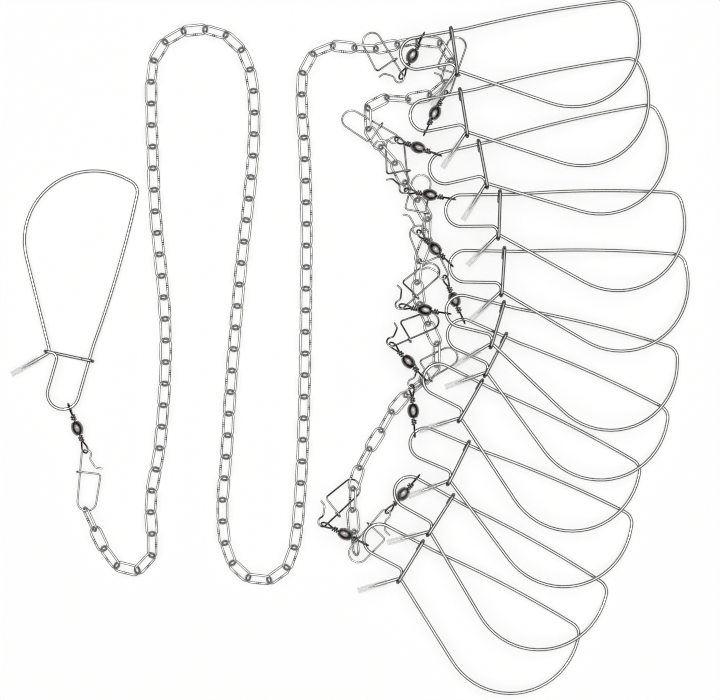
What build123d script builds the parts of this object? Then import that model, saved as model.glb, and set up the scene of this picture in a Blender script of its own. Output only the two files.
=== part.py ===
# Fish stringer: a welded wire-link chain laid in three long bends and a heap, with locking wire
# clips on barrel swivels. A small hooked snap fastens every swivel to a link of the chain.
# The origin is at the middle of the laid-out stringer, on the table, with +Z up. Sizes are in mm.
from build123d import *
from math import acos, asin, atan2, cos, degrees, hypot, radians, sin, sqrt
import os

os.makedirs("parts", exist_ok=True)

# Chain link
LINK_WIRE = 1.6
LINK_LENGTH = 17.9
LINK_WIDTH = 8.8
LINK_PLAY = 0.9               # end play between two links as they lie
RUN_ROLL = 31.0               # lean of the links from flat, to either side in turn
BEND_ROLL = 41.0              # the same beside a bend of the chain
HEAP_STEEP = 62.0             # lean of the links that carry snaps
HEAP_SHALLOW = 24.0           # lean of the links between them
HEAP_TURN = 40.0              # the same beside a sharp turn
LINKS_PER_RUN = 28

# Locking clip, bent from one length of spring wire
CLIP_WIRE = 2.1
WIRE_GAP = 0.3                # clear space between two wires of a clip where they cross
THROAT_RADIUS = 10.0
THROAT_LEG = 2.0              # straight wire before the throat bend
LEG_RUN = 33.0
LEG_CROWN = 3.8               # the leg bows out by this angle at the bar and comes back at the toe
LEG_CROWN_RADIUS = 60.0
LEG_BOW_RADIUS = 740.0
TOE_RADIUS = 8.0
TOE_ANGLE = 77.0
TOE_RUN = 2.0
FLEX_GAP = 0.25               # split between leg and arm, where the wire springs
ARM_RADIUS = 44.5
ARM_ANGLE = 133.0
ARM_RUN = 60.4
CATCH_RADIUS = 3.0
CATCH_ANGLE = 74.0
PIN_RUN = 19.0
POINT_LENGTH = 7.0
POINT_TIP = 0.2               # radius left at the ground point
HOOK_LEAN = 94.0
HOOK_RADIUS = 4.0
HOOK_TAIL = 5.0

# Clear sleeve over the point
GUARD_BORE = 2.7
GUARD_OUTER = 4.0
GUARD_LENGTH = 19.5
GUARD_PAST_POINT = 7.0
GUARD_EDGE = 0.25

# Barrel swivel
EYE_WIRE = 1.2
EYE_RADIUS = 2.9              # middle of the wire
EYE_NECK = 4.4                # from the eye's centre to the start of the wrapping
EYE_SPLAY = 0.02              # between the two wires where they enter the wrapping
WRAP_DIAMETER = 3.8
WRAP_TURNS = 4
WRAP_WIRE = 1.15
EYE_SPAN = 27.7               # from eye to eye
BARREL_LENGTH = 8.9
BARREL_DIAMETER = 7.6
BARREL_MOUTH = 4.3            # across the flat end
BARREL_WALL = 0.8
BARREL_EDGE = 0.3
SHANK_PLAY = 0.3              # round the shank in the barrel's end hole
HEAD_DIAMETER = 3.0
HEAD_THICK = 1.0

# Snap
SNAP_WIRE = 1.2
SNAP_LEAN = 4.8               # the long leg against the snap's axis
SNAP_START = (16.4, -3.95)    # a point of the long leg
SNAP_UP = 15.4
SNAP_LOOP = 3.0
SNAP_LOOP_TURN = 190.0
SNAP_LOOP_RUN = 1.0
SNAP_NECK_TURN = 50.0
SNAP_NECK = 4.2
SNAP_HOOK = 2.5
SNAP_HOOK_RUN = 3.0
SNAP_DOWN = 14.5
SNAP_FOOT = 6.0
SNAP_FOOT_TURN = 176.0
SNAP_BACK = 16.5
SNAP_RISE = 8.0               # lift of the bar out of the snap's plane, in degrees
SNAP_BAR_BEND = 2.0
SNAP_BAR_TURN = 92.0
SNAP_TAIL = 2.0
LOOP_PLAY = 0.8               # play of the eye in the narrow loop

# Clips as they lie: heading of the leg, height of the throat, roll
TOE_REACH = 142.0
TOE_HEIGHT = 1.2
CLIPS = [
    (11.0, 19.0, 6.3), (12.0, 19.0, 6.3), (13.5, 18.7, 6.3), (1.0, 18.0, 6.3), (-0.8, 17.8, 6.3),
    (-13.8, 17.0, 8.0), (-24.0, 12.8, 6.5), (-26.8, 13.0, 6.3), (-23.3, 12.4, 6.3),
    (-29.5, 12.0, 6.3), (-28.0, 11.5, 3.5),
]
LEFT_CLIP = (74.0, 4.2, 0.0)
LEFT_SEAT = 1.0               # the snap's foot past the end of the chain

# How each clip hangs: link from the start of the heap, leg of the snap that takes it and place along
# the leg, heading and roll of the snap, height of its loop, heading of the swivel, tilt of the eye in
# the loop, place of the other eye on the clip's throat, and how far that eye hangs below the wire
DROPS = [
    (2, 1, 31.5, -42.37, 12.0, 11.0, 62.08, 60.0, "leg", 8.0, 0.0),
    (6, 1, 27.0, -89.98, 4.0, 11.0, -116.49, 60.0, "bend", 168.0, 0.0),
    (12, -1, 22.0, -38.51, 12.0, 8.0, -21.24, 60.0, "bend", 16.0, 0.0),
    (14, 1, 27.0, -65.41, 12.0, 12.5, -11.04, 60.0, "bend", 40.0, 0.0),
    (16, 1, 27.0, -81.88, 4.0, 9.5, -45.53, 60.0, "bend", 80.0, 0.0),
    (20, 1, 27.0, -119.17, 12.0, 12.5, -9.25, 60.0, "bend", 112.0, 0.6),
    (18, -1, 31.5, -70.18, 12.0, 9.5, -66.71, 60.0, "bend", 24.0, 0.0),
    (22, 1, 31.5, -139.64, 14.0, 16.0, -46.12, 60.0, "bend", 108.0, 0.0),
    (24, 1, 27.0, -130.22, 4.0, 12.5, -86.29, 60.0, "bend", 68.0, 0.0),
    (34, -1, 27.0, 43.27, 4.0, 5.0, 49.48, 60.0, "bend", 4.0, 0.5),
    (32, -1, 27.0, -143.66, 14.0, 16.0, -26.07, 60.0, "bend", 132.0, 0.0),
]
LEFT_DROP = (89.79, 0.0, 3.85, 110.32, 60.0, "bend", 50.0, 0.7)

# Corner points of the chain's route over the table, from the left clip to the far end, in pitches
# of the links
ROUTE = [
    (-12.2391, -7.5290), (-11.7319, -8.6377), (-11.2246, -9.7101), (-10.5725, -10.4058),
    (-9.6449, -10.4493), (-8.9928, -9.5217), (-9.2754, -8.0362), (-9.1812, -6.4130),
    (-8.8551, -5.1594), (-8.7174, -3.8623), (-8.5290, -1.1739), (-8.5290, 1.2391),
    (-8.7174, 3.3261), (-8.9493, 5.4130), (-9.0435, 6.5725), (-9.1377, 8.8913),
    (-9.2246, 11.6739), (-9.1812, 13.3913), (-8.2536, 14.5000), (-6.7246, 14.8261),
    (-5.1957, 14.2246), (-4.5435, 12.7391), (-4.4058, 11.2101), (-4.4493, 9.1232),
    (-4.6812, 6.8043), (-5.0507, 3.7899), (-5.3333, 0.5435), (-5.6087, -2.9348),
    (-5.7029, -5.0217), (-5.9783, -7.5725), (-5.7464, -9.7101), (-4.9130, -10.6812),
    (-3.9855, -10.9565), (-2.9638, -10.4928), (-2.5000, -9.1957), (-2.3188, -7.1087),
    (-2.1812, -4.7899), (-2.0870, -1.3116), (-2.0362, 2.1667), (-1.9928, 5.5072),
    (-2.0870, 9.1232), (-2.2681, 11.4420), (-2.2246, 13.0145), (-1.2971, 13.9928),
    (0.0000, 13.8551), (1.1594, 13.7101), (2.5507, 14.0870), (3.7101, 14.2681),
    (4.6377, 13.8551), (4.7754, 12.7391), (4.0797, 11.7681), (3.0652, 11.3913),
    (2.0435, 11.5362), (1.1594, 11.4855), (0.6014, 10.8406), (0.9783, 9.6812),
    (2.1377, 8.4710), (2.3188, 8.1014), (2.6884, 7.2681), (3.4348, 6.4783),
    (3.7609, 5.3188), (3.2029, 4.2029), (3.0652, 2.8623), (3.2464, 1.7971),
    (3.7101, 0.8696), (4.1739, -0.1522), (3.9420, -1.1739), (2.9710, -1.9130),
    (2.1377, -2.6087), (1.6232, -3.5870), (1.0652, -4.4638), (0.4638, -5.4420),
    (0.0507, -6.7391), (0.1377, -8.0362), (0.2826, -9.3333), (0.3261, -10.4493),
]
ROUTE_ROUNDS = 3              # times the corners are cut
SHARP_TURN = 58.0
EASY_TURN = 20.0

CROSSING = CLIP_WIRE + WIRE_GAP
PITCH = LINK_LENGTH - 2 * LINK_WIRE - LINK_PLAY
heap_start = 3 * LINKS_PER_RUN
UP = Vector(0, 0, 1)


def turned(vector, about, angle):
    return vector.rotate(Axis((0, 0, 0), about), angle)


# Bends a wire as a bending machine does, inside the line that is being drawn: a feed runs straight
# on, a bend turns about the normal, and a roll turns the normal about the wire.
def bend_wire(start, heading, normal, moves):
    at, along, about = Vector(start), Vector(heading).normalized(), Vector(normal).normalized()
    for move, *sizes in moves:
        if move == "feed":
            Line(at, at + along * sizes[0])
            at = at + along * sizes[0]
        elif move == "roll":
            about = turned(about, along, sizes[0])
        else:
            radius, angle = sizes
            centre = at + about.cross(along) * (radius if angle > 0 else -radius)
            middle = centre + turned(at - centre, about, angle / 2)
            end = centre + turned(at - centre, about, angle)
            ThreePointArc(at, middle, end)
            at, along = end, turned(along, about, angle)
    return at, along, about


# Chain link
with BuildPart() as link:
    with BuildLine() as link_path:
        link_half = (LINK_LENGTH - LINK_WIDTH) / 2
        link_round = (LINK_WIDTH - LINK_WIRE) / 2
        bend_wire((0, -link_round, 0), (1, 0, 0), (0, 0, 1), [
            ("feed", link_half), ("bend", link_round, 180), ("feed", 2 * link_half),
            ("bend", link_round, 180), ("feed", link_half)])
    with BuildSketch(Plane(link_path.line @ 0, z_dir=link_path.line % 0)):
        Circle(LINK_WIRE / 2)
    sweep(path=link_path.wire())

# Spring arm of the clip: it comes round from the split, crosses the hook and ends in a ground point
with BuildLine() as leg_side:
    split, split_heading, _ = bend_wire((THROAT_LEG, 0, 0), (1, 0, 0), (0, 0, 1), [
        ("feed", LEG_RUN), ("bend", LEG_CROWN_RADIUS, -LEG_CROWN),
        ("bend", LEG_BOW_RADIUS, 2 * LEG_CROWN), ("bend", TOE_RADIUS, TOE_ANGLE - LEG_CROWN),
        ("feed", TOE_RUN)])
arm_start = split + split_heading * FLEX_GAP
arm_moves = [("bend", ARM_RADIUS, ARM_ANGLE), ("feed", ARM_RUN)]
with BuildLine() as catch_line:
    catch, _, _ = bend_wire(arm_start, split_heading, (0, 0, 1),
                            arm_moves + [("bend", CATCH_RADIUS, -CATCH_ANGLE / 2)])

with BuildPart() as clip_arm:
    with BuildLine() as arm_path:
        point_base, pin_heading, _ = bend_wire(arm_start, split_heading, (0, 0, 1), arm_moves + [
            ("bend", CATCH_RADIUS, -CATCH_ANGLE), ("feed", PIN_RUN - POINT_LENGTH)])
    with BuildSketch(Plane(arm_start, z_dir=split_heading)):
        Circle(CLIP_WIRE / 2)
    sweep(path=arm_path.wire())
    with BuildSketch(Plane(point_base, z_dir=pin_heading)):
        Circle(CLIP_WIRE / 2)
    with BuildSketch(Plane(point_base + pin_heading * POINT_LENGTH, z_dir=pin_heading)):
        Circle(POINT_TIP)
    loft()
point = point_base + pin_heading * POINT_LENGTH

# Frame of the clip: the leg, the throat and the hook that locks over the arm
throat_twist = degrees(asin(CROSSING / (2 * THROAT_RADIUS)))
throat_width = 2 * THROAT_RADIUS * cos(radians(throat_twist))
lean_sin, lean_cos = sin(radians(HOOK_LEAN)), cos(radians(HOOK_LEAN))
hook_rest = (catch.Y - throat_width - HOOK_RADIUS * (1 - lean_cos)) / lean_sin
hook_feed = catch.X - THROAT_LEG - HOOK_RADIUS * lean_sin - hook_rest * lean_cos
bar_run = catch.Y / lean_sin
bar_u = catch.X - bar_run * lean_cos

with BuildPart() as clip_frame:
    with BuildLine() as frame_path:
        add(leg_side.line)
        bend_wire((THROAT_LEG, 0, 0), (-1, 0, 0), (0, 0, -1), [
            ("roll", -throat_twist), ("bend", THROAT_RADIUS, 180), ("roll", -throat_twist),
            ("feed", hook_feed), ("bend", HOOK_RADIUS, -HOOK_LEAN), ("feed", hook_rest),
            ("roll", 90), ("bend", CROSSING, 180), ("feed", bar_run), ("bend", CROSSING, 180),
            ("feed", HOOK_TAIL)])
    frame_wire = frame_path.wire()
    with BuildSketch(Plane(frame_wire @ 0, z_dir=frame_wire % 0)):
        Circle(CLIP_WIRE / 2)
    sweep(path=frame_wire)

# Clear sleeve, open at both ends, pushed over the point
with BuildPart() as guard:
    with BuildSketch(Plane.XZ) as guard_wall:
        with Locations((0, (GUARD_BORE + GUARD_OUTER) / 4)):
            Rectangle(GUARD_LENGTH, (GUARD_OUTER - GUARD_BORE) / 2)
        fillet(guard_wall.vertices(), GUARD_EDGE)
    revolve(axis=Axis.X)

# Eye of the swivel: a wire loop, its wrapped neck, and a headed shank that turns in the barrel
neck_end = EYE_SPAN / 2 - BARREL_LENGTH / 2 - SHANK_PLAY
head_start = EYE_SPAN / 2 - BARREL_LENGTH / 2 + BARREL_WALL + SHANK_PLAY
with BuildPart() as eye:
    wire_in = (EYE_NECK + WRAP_WIRE / 2, (EYE_WIRE + EYE_SPLAY) / 2)
    touch = degrees(atan2(wire_in[1], wire_in[0]) + acos(EYE_RADIUS / hypot(*wire_in)))
    with BuildLine() as eye_path:
        loop = CenterArc((0, 0), EYE_RADIUS, touch, 360 - 2 * touch)
        Line(wire_in, loop @ 0)
        Line(loop @ 1, (wire_in[0], -wire_in[1]))
    eye_wire = eye_path.wire()
    with BuildSketch(Plane(eye_wire @ 0, z_dir=eye_wire % 0)):
        Circle(EYE_WIRE / 2)
    sweep(path=eye_wire)
    with BuildSketch(Plane.XY) as neck_half:
        with BuildLine():
            turn_length = (neck_end - EYE_NECK) / WRAP_TURNS
            groove = WRAP_DIAMETER / 2 - WRAP_WIRE / 4
            for i in range(WRAP_TURNS):
                ThreePointArc((EYE_NECK + turn_length * i, groove),
                              (EYE_NECK + turn_length * (i + 0.5), WRAP_DIAMETER / 2),
                              (EYE_NECK + turn_length * (i + 1), groove))
            Polyline((neck_end, groove), (neck_end, EYE_WIRE / 2), (head_start, EYE_WIRE / 2),
                     (head_start, HEAD_DIAMETER / 2), (head_start + HEAD_THICK, HEAD_DIAMETER / 2),
                     (head_start + HEAD_THICK, 0), (EYE_NECK, 0), (EYE_NECK, groove))
        make_face()
    revolve(axis=Axis.X)

# Barrel of the swivel: a hollow egg-shaped shell with flat ends
with BuildPart() as barrel:
    with BuildSketch(Plane.XY) as barrel_half:
        half, belly, mouth = BARREL_LENGTH / 2, BARREL_DIAMETER / 2, BARREL_MOUTH / 2
        bow = (half ** 2 + (belly - mouth) ** 2) / (2 * (belly - mouth))
        inner = half - BARREL_WALL
        inner_mouth = belly - bow + sqrt((bow - BARREL_WALL) ** 2 - inner ** 2)
        with BuildLine():
            ThreePointArc((-half, mouth), (0, belly), (half, mouth))
            Polyline((half, mouth), (half, 0), (-half, 0), (-half, mouth))
        make_face()
        fillet(barrel_half.vertices().group_by(Axis.Y)[-1], BARREL_EDGE)
        with BuildLine():
            ThreePointArc((-inner, inner_mouth), (0, belly - BARREL_WALL), (inner, inner_mouth))
            Polyline((inner, inner_mouth), (inner, 0), (-inner, 0), (-inner, inner_mouth))
        make_face(mode=Mode.SUBTRACT)
        with Locations((0, (EYE_WIRE / 2 + SHANK_PLAY) / 2)):
            Rectangle(BARREL_LENGTH, EYE_WIRE / 2 + SHANK_PLAY, mode=Mode.SUBTRACT)
    revolve(axis=Axis.X)

# Snap: a narrow loop for the swivel, a long leg, a round foot and a bar that hooks back over the leg
snap_leg = Vector(cos(radians(SNAP_LEAN)), -sin(radians(SNAP_LEAN)), 0)
snap_side = Vector(sin(radians(SNAP_LEAN)), cos(radians(SNAP_LEAN)), 0)
snap_start = Vector(*SNAP_START, 0)
snap_moves = [("feed", SNAP_DOWN), ("bend", SNAP_FOOT, SNAP_FOOT_TURN), ("feed", SNAP_BACK),
              ("roll", SNAP_RISE), ("bend", SNAP_BAR_BEND, SNAP_BAR_TURN)]
with BuildLine() as snap_trial:
    bar_start, bar_heading, _ = bend_wire(snap_start, snap_leg, UP, snap_moves)
snap_bar = (bar_start - snap_start).dot(snap_side) / -bar_heading.dot(snap_side)
bar_rise = (bar_start + bar_heading * snap_bar).Z

with BuildPart() as snap:
    with BuildLine() as snap_path:
        bend_wire(snap_start, snap_leg * -1, UP, [
            ("feed", SNAP_UP), ("bend", SNAP_LOOP, -SNAP_LOOP_TURN), ("feed", SNAP_LOOP_RUN),
            ("bend", SNAP_LOOP, SNAP_NECK_TURN), ("feed", SNAP_NECK),
            ("bend", SNAP_HOOK, SNAP_NECK_TURN), ("feed", SNAP_HOOK_RUN)])
        bend_wire(snap_start, snap_leg, UP, snap_moves + [
            ("feed", snap_bar), ("roll", SNAP_RISE - 90), ("bend", bar_rise, 180), ("feed", SNAP_TAIL)])
    snap_wire = snap_path.wire()
    with BuildSketch(Plane(snap_wire @ 0, z_dir=snap_wire % 0)):
        Circle(SNAP_WIRE / 2)
    sweep(path=snap_wire)
snap_loop = snap_start - snap_leg * SNAP_UP + snap_side * SNAP_LOOP
snap_foot = snap_start + snap_leg * SNAP_DOWN + snap_side * SNAP_FOOT


# The chain's route with its corners cut, then a junction of two links at every pitch along it
def cut_corners(points, rounds):
    for _ in range(rounds):
        cut = [points[0]]
        for a, b in zip(points, points[1:]):
            cut += [a * 0.75 + b * 0.25, a * 0.25 + b * 0.75]
        points = cut + [points[-1]]
    return points


def step_along(points, pitch):
    stops, first = [points[0]], 0
    while first is not None:
        here, start, first = stops[-1], first, None
        for i in range(start, len(points) - 1):
            run, back = points[i + 1] - points[i], points[i] - here
            square = run.dot(back) ** 2 - run.dot(run) * (back.dot(back) - pitch ** 2)
            share = (sqrt(max(square, 0)) - run.dot(back)) / run.dot(run)
            if square >= 0 and 0 <= share <= 1 and (i > start or share > 0):
                stops.append(points[i] + run * share)
                first = i
                break
    return stops


corners = [Vector(x, y, 0) * PITCH for x, y in ROUTE]
stops = step_along(cut_corners(corners, ROUTE_ROUNDS), PITCH)
links = len(stops) - 1
bends = [0.0] + [(b - a).get_angle(c - b) for a, b, c in zip(stops, stops[1:], stops[2:])] + [0.0]
rolls = []
for i in range(links):
    sharpest = max(bends[i], bends[i + 1])
    if i == 0:
        rolls.append(-HEAP_STEEP)
    elif i < heap_start:
        rolls.append((BEND_ROLL if sharpest >= EASY_TURN else RUN_ROLL) * (1 if i % 2 else -1))
    elif i % 2 == 0:
        rolls.append(-HEAP_STEEP)
    else:
        rolls.append(HEAP_TURN if sharpest > SHARP_TURN else HEAP_SHALLOW)
heights = [link_round * abs(sin(radians(roll))) + LINK_WIRE / 2 for roll in rolls]
tops = [heights[0]] + [max(a, b) for a, b in zip(heights, heights[1:])] + [heights[-1]]
stops = [stop + UP * top for stop, top in zip(stops, tops)]
link_planes = []
for a, b, roll in zip(stops, stops[1:], rolls):
    along = (b - a).normalized()
    across = UP.cross(along).normalized()
    face = along.cross(across) * cos(radians(roll)) + across * sin(radians(roll))
    link_planes.append(Plane((a + b) * 0.5, x_dir=along, z_dir=face))


# A clip lies with its toe on the table and its throat raised. Its face is turned up or down.
def lay_clip(heading, lift, roll, face):
    slope, turn, lean = asin((lift - TOE_HEIGHT) / TOE_REACH), radians(heading), radians(roll)
    along = Vector(cos(turn) * cos(slope), sin(turn) * cos(slope), -sin(slope))
    across = Vector(sin(turn), -cos(turn), 0) * -face
    raised = across.cross(along) * -face
    over = across * cos(lean) + raised * sin(lean)
    return Plane((0, 0, lift), x_dir=along, z_dir=along.cross(over))


# A point on the wire of the throat: on the leg, or at an angle round the bend
def throat_point(part, place):
    if part == "leg":
        return Vector(place, 0, 0)
    rise = THROAT_RADIUS * (1 - cos(radians(place)))
    return Vector(THROAT_LEG - THROAT_RADIUS * sin(radians(place)),
                  rise * cos(radians(throat_twist)), rise * sin(radians(throat_twist)))


def plan_way(heading):
    return Vector(cos(radians(heading)), sin(radians(heading)), 0)


# A snap runs from its link to an elbow, and a swivel from the elbow to the throat of a clip, which
# comes to lie where the swivel ends.
def hang_drop(clip, target, held, heading, roll, elbow_height, swivel_heading, tilt, part, place, sag):
    elbow_reach = EYE_SPAN + EYE_RADIUS
    grip = snap_loop - Vector(SNAP_LOOP - (EYE_WIRE + SNAP_WIRE) / 2 - LOOP_PLAY, 0, 0)
    reach = held - grip
    throat = clip.from_local_coords(throat_point(part, place))
    eye_height = throat.Z - sag
    near = sqrt(elbow_reach ** 2 - (eye_height - elbow_height) ** 2)
    far = sqrt(reach.length ** 2 - (elbow_height - target.Z) ** 2)
    elbow = target + plan_way(heading) * far
    elbow = Vector(elbow.X, elbow.Y, elbow_height)
    clip_eye = elbow + plan_way(swivel_heading) * near
    clip_eye = Vector(clip_eye.X, clip_eye.Y, eye_height)
    axis = (elbow - clip_eye).normalized()
    across = UP.cross(axis).normalized()
    chain_eye = clip_eye + axis * EYE_SPAN
    face = axis.cross(across) * cos(radians(tilt)) + across * sin(radians(tilt))
    plan = radians(heading + 180) - atan2(reach.Y, reach.X)
    lie = Vector(cos(plan), sin(plan), (target.Z - elbow_height) / reach.length).normalized()
    beside = UP.cross(lie).normalized()
    snap_face = lie.cross(beside) * cos(radians(roll)) - beside * sin(radians(roll))
    snap_origin = elbow - lie * grip.X - snap_face.cross(lie) * grip.Y
    clip_origin = clip.origin + clip_eye + UP * sag - throat
    return (Plane(clip_eye, x_dir=axis, z_dir=across), Plane(chain_eye, x_dir=axis * -1, z_dir=face),
            Plane((clip_eye + chain_eye) * 0.5, x_dir=axis, z_dir=across),
            Plane(snap_origin, x_dir=lie, z_dir=snap_face),
            Plane(clip_origin, x_dir=clip.x_dir, z_dir=clip.z_dir))


drops = []
for clip, (number, leg, along, heading, roll, *rest) in zip(CLIPS, DROPS):
    if leg < 0:
        held = snap_start + snap_leg * ((along - SNAP_START[0]) / snap_leg.X)
    else:
        held = Vector(along - 1, snap_foot.Y + SNAP_FOOT, 0)
    drops.append(hang_drop(lay_clip(*clip, -1), link_planes[heap_start + number].origin, held, heading,
                           roll if leg < 0 else -roll, *rest))
clip_planes = [drop[4] for drop in drops]


# Copies of one piece, each a solid of its own
def copies(piece, planes, name):
    group = Compound(children=[piece.part.moved(plane.location) for plane in planes])
    group.label = name
    export_step(group, f"parts/{name}.step")
    return group


def single(piece, plane, name):
    solid = piece.part.moved(plane.location)
    solid.label = name
    export_step(solid, f"parts/{name}.step")
    return solid


# The left clip hangs from the first link, which rides in the foot of its snap
first_link = link_planes[0]
left_target = stops[0] + first_link.x_dir * LEFT_SEAT
left_drop = hang_drop(lay_clip(*LEFT_CLIP, 1), left_target, snap_foot + snap_leg * SNAP_FOOT, *LEFT_DROP)
left_plane = left_drop[4]

for name, first, last in (("chain_run_left", 0, LINKS_PER_RUN),
                          ("chain_run_middle", LINKS_PER_RUN, 2 * LINKS_PER_RUN),
                          ("chain_run_right", 2 * LINKS_PER_RUN, heap_start),
                          ("chain_heap", heap_start, links)):
    copies(link, link_planes[first:last], name)

copies(eye, [drop[0] for drop in drops], "heap_clip_eyes")
copies(eye, [drop[1] for drop in drops], "heap_chain_eyes")
copies(snap, [drop[3] for drop in drops], "heap_snaps")
guard_middle = point + pin_heading * (GUARD_PAST_POINT - GUARD_LENGTH / 2)
guard_seat = Plane(guard_middle, x_dir=pin_heading, z_dir=(0, 0, 1))
for i, (plane, drop) in enumerate(zip(clip_planes, drops), 1):
    single(barrel, drop[2], f"clip_{i:02d}_barrel")
    single(clip_frame, plane, f"clip_{i:02d}_frame")
    single(clip_arm, plane, f"clip_{i:02d}_arm")
    single(guard, Plane(plane.location * guard_seat.location), f"clip_{i:02d}_guard")

single(eye, left_drop[0], "left_clip_eye")
single(eye, left_drop[1], "left_chain_eye")
single(barrel, left_drop[2], "left_barrel")
single(snap, left_drop[3], "left_snap")
single(clip_frame, left_plane, "left_clip_frame")
single(clip_arm, left_plane, "left_clip_arm")
single(guard, Plane(left_plane.location * guard_seat.location), "left_clip_guard")
print(f"{links} links, {links * PITCH / 1000:.2f} m of chain, {len(CLIPS) + 1} clips")
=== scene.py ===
import bpy
import math
from mathutils import Matrix, Quaternion, Vector


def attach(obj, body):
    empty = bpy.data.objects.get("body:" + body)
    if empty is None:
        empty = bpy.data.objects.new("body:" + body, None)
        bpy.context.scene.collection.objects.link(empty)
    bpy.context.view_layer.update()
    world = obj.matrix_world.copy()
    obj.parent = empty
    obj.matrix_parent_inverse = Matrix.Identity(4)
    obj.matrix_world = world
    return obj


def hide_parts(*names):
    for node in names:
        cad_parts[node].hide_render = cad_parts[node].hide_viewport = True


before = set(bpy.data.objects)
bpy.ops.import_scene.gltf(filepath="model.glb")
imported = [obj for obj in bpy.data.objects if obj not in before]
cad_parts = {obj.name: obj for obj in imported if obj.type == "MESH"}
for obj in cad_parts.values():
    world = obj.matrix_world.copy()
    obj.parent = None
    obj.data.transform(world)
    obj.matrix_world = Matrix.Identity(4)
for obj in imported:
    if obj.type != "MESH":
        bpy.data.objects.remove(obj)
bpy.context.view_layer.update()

mm = 0.001
up = Vector((0, 0, 1))


def linear(hexCode):
    parts = [int(hexCode[i:i + 2], 16) / 255 for i in (1, 3, 5)]
    return tuple(c / 12.92 if c <= 0.04045 else ((c + 0.055) / 1.055) ** 2.4 for c in parts) + (1.0,)


def addNode(tree, kind, inputs=None, **settings):
    node = tree.nodes.new(kind)
    for key, value in settings.items():
        setattr(node, key, value)
    for key, value in (inputs or {}).items():
        if isinstance(value, bpy.types.NodeSocket):
            tree.links.new(value, node.inputs[key])
        else:
            node.inputs[key].default_value = value
    return node


def placed(origin, along, face):
    x, z = along.normalized(), face.normalized()
    return Matrix.Translation(origin) @ Matrix((x, z.cross(x), z)).transposed().to_4x4()


def turned(vector, about, angle):
    return Quaternion(about, math.radians(angle)) @ vector


def evenly(first, last, steps):
    return [first + (last - first) * i / steps for i in range(steps + 1)]


# longest run and widest turn between two points of a wire, and fewest steps of a bend
wireStep = {"run": 5.0, "turn": 9.0, "fewest": 4}


# feeds, bends about the normal and rolls a wire, as on a bending machine
def bendWire(start, heading, normal, moves):
    at, along, about = Vector(start), Vector(heading).normalized(), Vector(normal).normalized()
    points = [at.copy()]
    for move, *sizes in moves:
        if move == "feed":
            pieces = max(1, round(sizes[0] / wireStep["run"]))
            points += [at + along * reach for reach in evenly(0, sizes[0], pieces)[1:]]
            at = points[-1].copy()
        elif move == "roll":
            about = turned(about, along, sizes[0])
        else:
            radius, angle = sizes
            centre = at + about.cross(along) * math.copysign(radius, angle)
            pieces = max(wireStep["fewest"], math.ceil(abs(angle) / wireStep["turn"]),
                         math.ceil(math.radians(abs(angle)) * radius / wireStep["run"]))
            points += [centre + turned(at - centre, about, turn) for turn in evenly(0, angle, pieces)[1:]]
            at, along = points[-1].copy(), turned(along, about, angle)
    return points, at, along


# The wire pieces, bent in their own frames. Millimetres until a piece is made.

chainLink = {"wire": 1.6, "length": 17.9, "width": 8.8, "play": 0.9, "runLean": 31, "bendLean": 41,
             "steepLean": 62, "shallowLean": 24, "turnLean": 40, "perRun": 28, "sharpTurn": 58, "easyTurn": 20,
             "steps": 56, "bendSteps": 12, "nearHalf": 0.49999, "sides": 12, "weldHalf": 3.4, "weldRise": 0.3,
             "lump": 10 / 9}
heapStart = 3 * chainLink["perRun"]   # the links of the three runs come first

lockClip = {"wire": 2.1, "gap": 0.3, "throat": 10.0, "throatLeg": 2.0, "leg": 33.0, "crown": 3.8,
            "crownRadius": 60.0, "bowRadius": 740.0, "toe": 8.0, "toeAngle": 77.0, "toeRun": 2.0,
            "split": 0.25, "arm": 44.5, "armAngle": 133.0, "armRun": 60.4, "catch": 3.0,
            "catchAngle": 74.0, "pin": 19.0, "point": 7.0, "tip": 0.2, "hookLean": 94.0, "hook": 4.0,
            "tail": 5.0, "sides": 16, "toeReach": 142.0, "toeHeight": 1.2, "rootIn": 0.6,
            "rootThick": (0.97, 0.99), "pointSteps": 7}

pointSleeve = {"bore": 2.7, "outer": 4.0, "length": 19.5, "past": 7.0, "edge": 0.25, "edgeSteps": 3,
               "around": 28}

swivelEye = {"wire": 1.2, "radius": 2.9, "neck": 4.4, "wrap": 3.8, "turns": 2.5, "wrapWire": 1.1, "rubAndPaintedHighlight": 0.2,
             "span": 27.7, "play": 0.3, "coreIn": 0.2, "sides": 12, "steps": 34, "perTurn": 20}

swivelBarrel = {"length": 8.9, "diameter": 7.6, "wall": 0.8, "mouth": 4.3, "edge": 0.3,
                "chamfer": 0.2, "edgeSteps": 4, "bellySteps": 20, "insideSteps": 8, "around": 40}

chainSnap = {"wire": 1.2, "lean": 4.8, "start": (16.4, -3.95), "up": 15.4, "loop": 3.0, "loopTurn": 190.0,
             "loopRun": 1.0, "neckTurn": 50.0, "neck": 4.2, "hook": 2.5, "hookRun": 3.0, "down": 14.5,
             "foot": 6.0, "footTurn": 176.0, "back": 16.5, "rise": 8.0, "barBend": 2.0, "barTurn": 92.0,
             "tail": 2.0, "play": 0.8, "backShift": 1.0, "sides": 12}

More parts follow.
